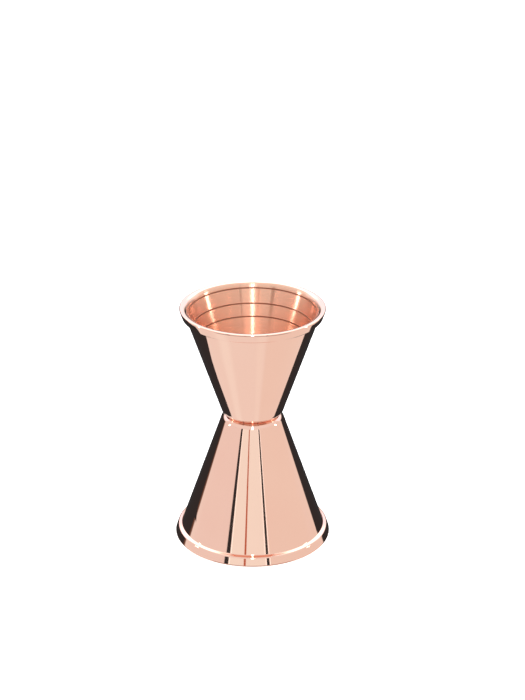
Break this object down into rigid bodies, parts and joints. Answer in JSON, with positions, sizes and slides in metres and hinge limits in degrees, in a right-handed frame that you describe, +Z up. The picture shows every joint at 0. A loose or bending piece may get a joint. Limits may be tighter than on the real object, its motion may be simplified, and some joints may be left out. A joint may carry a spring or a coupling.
{
  "type": "bar jigger",
  "caption": "Double-ended conical bar jigger: a smaller and a larger cup joined floor to floor, each with a thick band round its mouth, and measure lines inside the smaller one.",
  "frame": {"origin": "centre of the flat edge of the lower, larger cup's mouth, where it rests", "axes": "+Z up along the common axis of both cups, from the larger mouth to the smaller; X and Y are free, as every section is round"},
  "size_m": [0.0508, 0.0508, 0.08],
  "materials": {
    "copper_plate": "rose-gold copper plating over stainless steel sheet, mirror polished outside and spun bright inside",
    "weld": "fused stainless steel, hidden between the floors"
  },
  "bodies": {
    "root": {"upper_cup": "copper_plate", "lower_cup": "copper_plate", "weld_nugget": "weld"}
  },
  "joints": []
}
